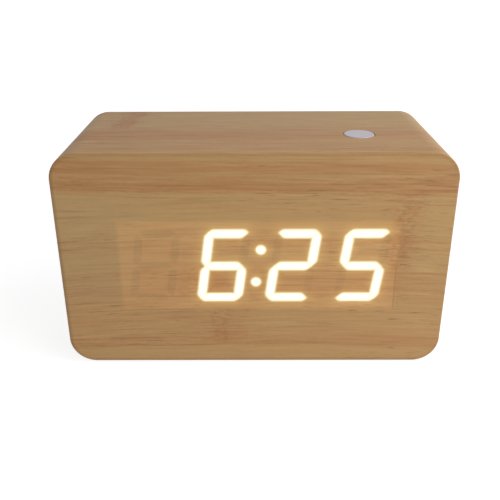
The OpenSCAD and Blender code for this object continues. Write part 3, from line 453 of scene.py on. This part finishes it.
def paint_front():
    net = new_material("wood_front")
    x, _, z = net.place()
    z = net.sub(z, MID_Z)
    from_crown = net.sub(x, CROWN_X)
    below_band = net.ease(z, *TOP_BAND)
    arch = net.mul(net.mul(net.mul(from_crown, from_crown), ARCH), below_band)
    drop = net.mul(net.mul(net.low(from_crown, 0.0), DROP), net.sub(1, below_band))
    middle = net.band(z, *MIDDLE)
    left = net.mul(net.ease(x, *LEFT_END), middle)
    right = net.mul(net.ease(x, *RIGHT_END), middle)
    tint = net.sub(net.mul(left, -LEFT_TINT), net.mul(right, RIGHT_TINT))
    colour, height = bamboo(
        net, x, z, FRONT_STRIPS, FRONT_JOINTS, FRONT_SEED, tint=tint, bow=net.add(arch, drop)
    )
    colour = net.mix(left, colour, LEFT_COOLER, "MULTIPLY")

    low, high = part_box("display_housing")
    wide, tall = (high.x - low.x) / 2 * MM, (high.z - low.z) / 2 * MM
    across = net.sub(x, (low.x + high.x) / 2 * MM)
    up = net.sub(z, (low.z + high.z) / 2 * MM - MID_Z)
    core, lit, unlit = display(net, across, up)
    face_x = net.ease(net.absolute(across), wide + FACE_X_OUT, wide - FACE_X_IN)
    face_z = net.ease(net.absolute(up), tall + FACE_Z_OUT, tall - FACE_Z_IN)
    face = net.mul(face_x, face_z)
    ghost = net.mul(net.ease(unlit, *GHOST_EDGE), face)
    leak = net.mul(face, net.sub(1.0, net.mul(ghost, GHOST_SHARE)))
    # painted shadow of the display housing's right edge, seen through the sheet
    rim_x = net.ease(net.absolute(net.sub(across, wide - RIM_INSET)), *RIM_EDGE)
    rim_z = net.band(up, -tall - RIM_FOOT_OUT, RIM_FOOT_IN - tall, RIM_TOP_FADE, RIM_TOP_END)
    rim_shadow = net.mul(rim_x, rim_z)
    colour = net.mix(net.mul(rim_shadow, RIM_SHADOW_SHARE), colour, RIM_SHADOW_COLOUR)
    light = net.mix(net.fall(net.high(lit, 0.0), HALO_RATE), BLACK, HALO_LIGHT)
    light = net.mix(leak, light, LEAK_LIGHT, "ADD")
    light = net.mix(core, light, CORE_LIGHT, "ADD")

    inside = inset(net, x, z)
    # painted shade in the gap between the sheet and the film, round the border
    seam_shade = net.mul(net.ease(inside, *SEAM_INNER), net.ease(inside, *SEAM_OUTER))
    # the painted shade is stronger at the left, away from the light, and weaker at the right
    share = net.add(
        net.ease(x, SEAM_FAR - HALF_W, SEAM_NEAR - HALF_W, SEAM_SHADE_SHARE, SEAM_SHADE_LEFT),
        net.ease(x, HALF_W - SEAM_FAR, HALF_W - SEAM_NEAR, 0, SEAM_SHADE_RIGHT),
    )
    colour = net.mix(net.mul(seam_shade, share), colour, SEAM_SHADE_COLOUR)
    # painted bounce light from the floor: paler towards the bottom
    colour = net.mix(net.ease(z, BOUNCE_FROM, BOUNCE_TO), colour, PAINTED_BOUNCE, "MULTIPLY")
    net.set(Emission_Color=light, Emission_Strength=1.0)
    finish_film(net, colour, height, FRONT_SPECULAR)
    net.dress("front_sheet")


# Strips and joints on the film, with the way round the case along and the depth across.
WRAP_STRIPS = [
    (0, 0.5), (3, 0.6), (6, 0.55), (11, 0.55), (14, 0.85),
    (20, 0.8), (24, 0.5), (28, 0.3), (38, 0.3), (45, 0.35),
]
WRAP_JOINTS = [Joint(-38, 0.15, 24, 45, 5, 0.5, 1.0), Joint(96, 0.1, 4, 30, 6, 0.3, 1.0)]
WRAP_SEED, WRAP_CONTRAST = 41.0, 0.7
# The film cools towards the rear, and its front edge carries a pale painted highlight, where the rounded edge
# catches the light.
COOL_FROM, COOL_TO = 10, 36
COOL_FRONT, COOL_REAR = (1.0, 1.01, 1.06, 1), (0.945, 0.99, 1.07, 1)
HIGHLIGHT_EDGE, HIGHLIGHT_COLOUR = (1.1, 0.5, 0.0, 0.5), linear(206, 162, 116)


def paint_wrap():
    """The film runs round the case, so the grain follows the outline and turns down the sides."""
    net = new_material("wood_wrap")
    x, y, z = net.place()
    z = net.sub(z, MID_Z)
    flat_x, flat_z, quarter = HALF_W - CORNER_R, HALF_H - CORNER_R, CORNER_R * math.pi / 2
    size_x = net.absolute(x)
    over_x = net.high(net.sub(size_x, flat_x), 0.0)
    over_z = net.high(net.sub(net.absolute(z), flat_z), 0.0)
    bend = net.mul(net.math("ARCTAN2", over_x, over_z), CORNER_R)
    inner_x = net.low(size_x, flat_x)
    upper = net.add(net.add(inner_x, bend), net.high(net.sub(flat_z, z), 0.0))
    lower = net.add(net.low(net.mul(z, -1), flat_z), flat_x + quarter + flat_z)
    lower = net.add(lower, net.add(net.sub(quarter, bend), net.sub(flat_x, inner_x)))
    under = net.math("LESS_THAN", z, 0.0)
    way_round = net.add(net.mul(upper, net.sub(1, under)), net.mul(lower, under))
    along = net.mul(way_round, net.math("SIGN", x))
    # the film turns in over the rear rim
    depth = net.add(net.sub(y, FRONT_Y), net.high(inset(net, x, z), 0.0))
    colour, height = bamboo(net, along, depth, WRAP_STRIPS, WRAP_JOINTS, WRAP_SEED, WRAP_CONTRAST)
    cooler = net.mix(net.ease(depth, COOL_FROM, COOL_TO), COOL_FRONT, COOL_REAR)
    colour = net.mix(1.0, colour, cooler, "MULTIPLY")
    # painted highlight along the film's front edge
    colour = net.mix(net.ease(depth, *HIGHLIGHT_EDGE), colour, HIGHLIGHT_COLOUR)
    finish_film(net, colour, height, WRAP_SPECULAR)
    net.dress("side_film")


# A plain surface's noises: the scale of the slow one, how much coarser the specks are than the fine one, and
# the shares of the fine two and of the slow one in the shade.
SLOW_SCALE, SPECK_SIZE, NOISE_ROUGH = 0.12, 4, 0.6
FINE_SHARE, SLOW_SHARE = 0.3, 0.4
# The shades of its darkest and palest colour, and those of its least and most roughness.
DARK_AT, PALE_AT = 0.3, 0.7
SMOOTH_AT, ROUGH_AT, SMOOTHER, ROUGHER = 0.35, 0.65, 0.07, 0.09
# Depths of bumps in metres, and their strengths.
PLAIN_BUMP_DEPTH, FINE_BUMP_DEPTH = 0.00008, 0.00005
SLEEVE_BUMP, RESIN_BUMP = 0.08, 0.1


def paint_plain(name, members, colour, rough, metal=0.0, grain=3.0, vary=0.12, bump=0.15, stretch=(1, 1, 1)):
    """A moulded or metal surface with a fine texture and slight changes of colour and gloss."""
    net = new_material(name)
    spot = net.stretched(net.place(), stretch)
    fine = net.noise(spot, grain, 3, NOISE_ROUGH)
    speck = net.noise(spot, grain / SPECK_SIZE, 2, NOISE_ROUGH)
    slow = net.noise(spot, SLOW_SCALE, 3, NOISE_ROUGH)
    shade = net.add(net.mul(net.add(fine, speck), FINE_SHARE), net.mul(slow, SLOW_SHARE))
    base = linear(*colour)[:3]
    darker = (*(c * (1 - 2 * vary) for c in base), 1)
    paler = (*(min(1, c * (1 + vary)) for c in base), 1)
    net.set(Base_Color=net.ramp(shade, [(DARK_AT, darker), (PALE_AT, paler)]), Metallic=metal)
    net.set(Roughness=net.ease(shade, SMOOTH_AT, ROUGH_AT, rough - SMOOTHER, rough + ROUGHER))
    net.bump(fine, bump, PLAIN_BUMP_DEPTH)
    net.dress(*members)


# A cell's nub, the end of its pale ring and the end of its sleeve, in millimetres from the nub's tip.
NUB_END, RING_END, SLEEVE_END, CELL_EDGE = 1.4, 11.1, 44.3, 0.1
CELL_COUNT = 3
SLEEVE_COLOUR, RING_COLOUR = linear(28, 78, 56), linear(196, 178, 120)
CAN_COLOUR, SCRATCH_COLOUR, SCRATCH_SHARE = linear(190, 190, 188), linear(20, 30, 26), 0.12
SCRATCH_STRETCH, SLEEVE_ROUGHNESS = (0.4, 3, 3), (0.2, 0.8, 0.22, 0.4)


def paint_cells():
    """Plain sleeves: dark green with a paler ring at the nub end and bare metal ends."""
    net = new_material("cell_sleeve")
    x, y, z = net.place()
    low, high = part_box("cells")
    pitch = (high.z - low.z) * MM / CELL_COUNT
    row = net.math("FLOOR", net.math("DIVIDE", net.sub(z, low.z * MM), pitch))
    # the middle cell lies the other way round
    turned = net.math("COMPARE", row, 1.0, 0.4)
    from_left = net.sub(x, low.x * MM)
    from_right = net.sub(high.x * MM, x)
    to_nub = net.add(net.mul(from_left, net.sub(1, turned)), net.mul(from_right, turned))
    scratch = net.noise(net.stretched((x, y, z), SCRATCH_STRETCH), 1, 3, NOISE_ROUGH)
    ring = net.band(to_nub, NUB_END, NUB_END + CELL_EDGE, RING_END, RING_END + CELL_EDGE)
    bare = net.high(
        net.ease(to_nub, NUB_END + CELL_EDGE, NUB_END),
        net.ease(to_nub, SLEEVE_END, SLEEVE_END + CELL_EDGE),
    )
    colour = net.mix(ring, SLEEVE_COLOUR, RING_COLOUR)
    colour = net.mix(bare, colour, CAN_COLOUR)
    colour = net.mix(net.mul(scratch, SCRATCH_SHARE), colour, SCRATCH_COLOUR)
    net.set(Base_Color=colour, Metallic=bare, Roughness=net.ease(scratch, *SLEEVE_ROUGHNESS))
    net.bump(scratch, SLEEVE_BUMP, FINE_BUMP_DEPTH)
    net.dress("cells")


RESIN_COLOURS = [(0.2, (0.9, 0.86, 0.72, 1)), (0.8, (1, 0.97, 0.88, 1))]
RESIN_GLOW, RESIN_GLOW_STRENGTH = [(0.2, (1, 0.9, 0.66, 1)), (0.8, (1, 0.97, 0.84, 1))], 1.2
RESIN_ROUGHNESS, HAZE_SCALE = (0.2, 0.8, 0.3, 0.42), 0.8


def paint_bars():
    """Milky resin that glows."""
    net = new_material("lit_filling")
    haze = net.noise(net.point(*net.place()), HAZE_SCALE, 2)
    net.set(Base_Color=net.ramp(haze, RESIN_COLOURS), Roughness=net.ease(haze, *RESIN_ROUGHNESS))
    net.set(Emission_Color=net.ramp(haze, RESIN_GLOW), Emission_Strength=RESIN_GLOW_STRENGTH)
    net.bump(haze, RESIN_BUMP, FINE_BUMP_DEPTH)
    net.dress("lit_bars")


def paint_all():
    paint_front()
    paint_wrap()
    paint_bars()
    paint_cells()
    cover = ["rear_cover", "battery_door"]
    keys = ["set_key", "up_key", "down_key"]
    boards = ["display_board", "main_board", "key_board"]
    steel = ["display_pins", "board_screws", "chip_legs", "crystal", "cover_screws", "key_board_screws",
             "usb_socket", "contact_plates", "contact_springs"]
    resin = ["clock_chip", "driver_transistors", "buzzer", "usb_tongue"]
    switches = ["top_switch", "top_plunger", "key_switches", "set_plunger", "up_plunger", "down_plunger"]
    paint_plain("cover_plastic", cover, (34, 34, 35), 0.5, grain=2.6, vary=0.45, bump=0.7)
    paint_plain("key_plastic", keys, (92, 92, 95), 0.4, vary=0.08, bump=0.25)
    paint_plain("button_plastic", ["top_button"], (174, 168, 175), 0.45, grain=8, vary=0.03, bump=0.05)
    paint_plain("pad_rubber", ["foot_pads"], (38, 38, 38), 0.8, grain=10, bump=0.5)
    paint_plain("fibreboard", ["case_body"], (172, 142, 108), 0.85, grain=2.2, vary=0.16, bump=0.6)
    paint_plain("reflector_plastic", ["display_housing"], (196, 190, 178), 0.5, vary=0.05)
    paint_plain("unlit_filling", ["unlit_bars"], (176, 172, 156), 0.4, vary=0.05)
    paint_plain("led_resin", ["led_chips"], (222, 196, 92), 0.2, vary=0.08)
    paint_plain("board_laminate", boards, (22, 92, 48), 0.35, grain=1.2, vary=0.18, bump=0.1)
    paint_plain("plated_steel", steel, (188, 188, 186), 0.28, metal=1.0, grain=4, vary=0.08, bump=0.1,
                stretch=(1, 1, 6))
    paint_plain("black_resin", resin, (30, 30, 31), 0.6, grain=5)
    paint_plain("ceramic", ["resistors"], (70, 70, 72), 0.45)
    paint_plain("capacitor_sleeve", ["capacitor"], (36, 40, 66), 0.35, vary=0.08)
    paint_plain("switch_plastic", switches, (44, 44, 46), 0.5)
    paint_plain("cable_plastic", ["key_cable"], (150, 150, 154), 0.45, grain=1.5, stretch=(6, 0.4, 0.4))
    paint_plain("red_insulation", ["positive_lead"], (176, 34, 30), 0.4, vary=0.06)
    paint_plain("black_insulation", ["negative_lead"], (28, 28, 30), 0.4)


FLOOR_SIZE = 6
# The floor is a little darker round the clock, from and to these distances in metres.
FLOOR_NEAR, FLOOR_FAR, FLOOR_DIM = 0.1, 0.5, 0.86
# What the floor adds to its own white where light falls on it, and what it throws back at the clock.
FLOOR_SHADE, FLOOR_BOUNCE = (0.28, 0.28, 0.28, 1), (0.85, 0.85, 0.85, 1)
# Strength of the surroundings, and the share by which they are stronger from the right.
SOFT_LIGHT, SOFT_SLOPE = 0.32, 0.7
LAMP_AIM = Vector((0, 0, 0.03))
# Lamps: name, place and size in metres, power in watts, and whether they show in reflections.
LAMPS = [
    ("key", (0.36, -0.43, 0.14), 0.25, 1.33, True),
    ("top", (0.22, -0.10, 0.32), 0.3, 0.84, True),
    ("fill", (-0.5, -0.6, 0.25), 0.4, 0.2, True),
    ("rear", (0.1, 0.6, 0.17), 0.3, 0.9, False),
]


def split_rays(net, seen, other, output):
    """Camera, glossy and transmission rays meet the first shader, and all other rays the second."""
    path = net.new("ShaderNodeLightPath").outputs
    direct = net.high(net.high(path["Is Camera Ray"], path["Is Glossy Ray"]), path["Is Transmission Ray"])
    shown = net.fill(net.new("ShaderNodeMixShader"), direct, other, seen)
    net.put(net.new(output).inputs[0], shown)


def add_floor():
    bpy.ops.mesh.primitive_plane_add(size=FLOOR_SIZE)
    floor = bpy.context.object
    floor.name = "floor"
    net = new_material("floor")
    net.tree.nodes.clear()
    away = net.measure("LENGTH", net.new("ShaderNodeTexCoord").outputs["Object"])
    strength = net.ease(away, FLOOR_NEAR, FLOOR_FAR, FLOOR_DIM, 1.0)
    white = net.fill(net.new("ShaderNodeEmission"), WHITE, strength)
    shade = net.fill(net.new("ShaderNodeBsdfDiffuse"), FLOOR_SHADE)
    bounce = net.fill(net.new("ShaderNodeBsdfDiffuse"), FLOOR_BOUNCE)
    seen = net.fill(net.new("ShaderNodeAddShader"), white, shade)
    split_rays(net, seen, bounce, "ShaderNodeOutputMaterial")
    floor.data.materials.append(net.owner)


def add_world():
    scene.world = bpy.data.worlds.new("studio")
    net = Net(scene.world)
    net.tree.nodes.clear()
    split = net.new("ShaderNodeSeparateXYZ")
    to_right = net.fill(split, net.new("ShaderNodeTexCoord").outputs["Generated"])
    strength = net.rise(to_right, SOFT_LIGHT * SOFT_SLOPE, SOFT_LIGHT)
    white = net.fill(net.new("ShaderNodeBackground"), WHITE, 1.0)
    soft = net.fill(net.new("ShaderNodeBackground"), WHITE, strength)
    split_rays(net, white, soft, "ShaderNodeOutputWorld")


def add_lamp(name, spot, size, power, mirrored):
    data = bpy.data.lights.new(name, "AREA")
    data.shape = "DISK"
    data.size = size
    data.energy = power
    lamp = bpy.data.objects.new(name, data)
    lamp.visible_camera = False
    lamp.visible_glossy = mirrored
    lamp.location = spot
    lamp.rotation_euler = (LAMP_AIM - Vector(spot)).to_track_quat("-Z", "Y").to_euler()
    scene.collection.objects.link(lamp)


add_camera()
add_floor()
add_world()
for lamp in LAMPS:
    add_lamp(*lamp)
paint_all()
scene.view_settings.view_transform = "Standard"
